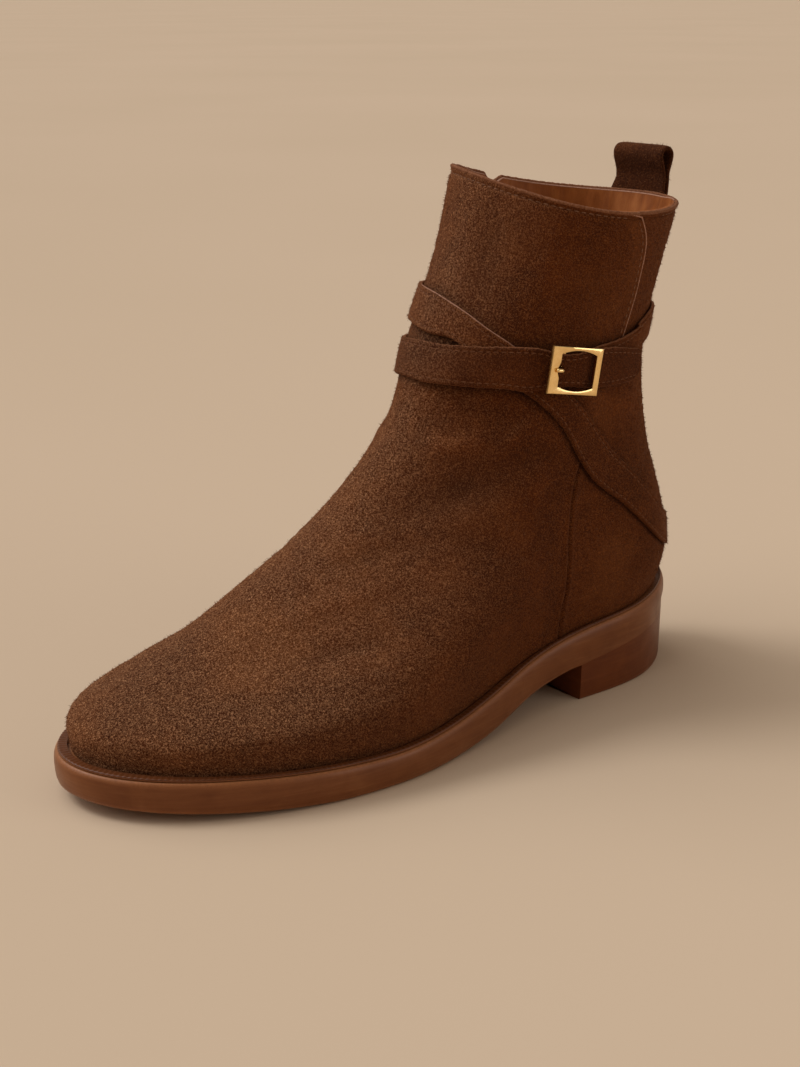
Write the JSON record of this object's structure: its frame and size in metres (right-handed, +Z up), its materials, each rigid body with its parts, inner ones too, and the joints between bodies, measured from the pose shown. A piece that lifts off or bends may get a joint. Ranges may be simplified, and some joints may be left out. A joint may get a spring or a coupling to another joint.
{
  "type": "ankle boot",
  "caption": "Brown suede ankle boot for the left foot with wrapped straps, a gold buckle, a pull loop and a low heel.",
  "frame": {"origin": "on the floor at the middle of the heel's flat bottom face", "axes": "+X towards the toe, +Y towards the outer side of the left foot, +Z up"},
  "size_m": [0.258, 0.0951, 0.1934],
  "materials": {
    "suede": "brushed suede nap",
    "sole_leather": "waxed edge, satin",
    "welt_leather": "waxed, ribbed",
    "lining_leather": "smooth lining leather",
    "brass": "polished gold plating"
  },
  "bodies": {
    "root": {"outsole": "sole_leather", "heel_block": "sole_leather", "welt": "welt_leather", "insole": "lining_leather", "upper": "suede", "strap_wrapped": "suede", "strap_holed": "suede", "pull_loop": "suede", "buckle_frame": "brass", "prong": "brass"}
  },
  "joints": []
}
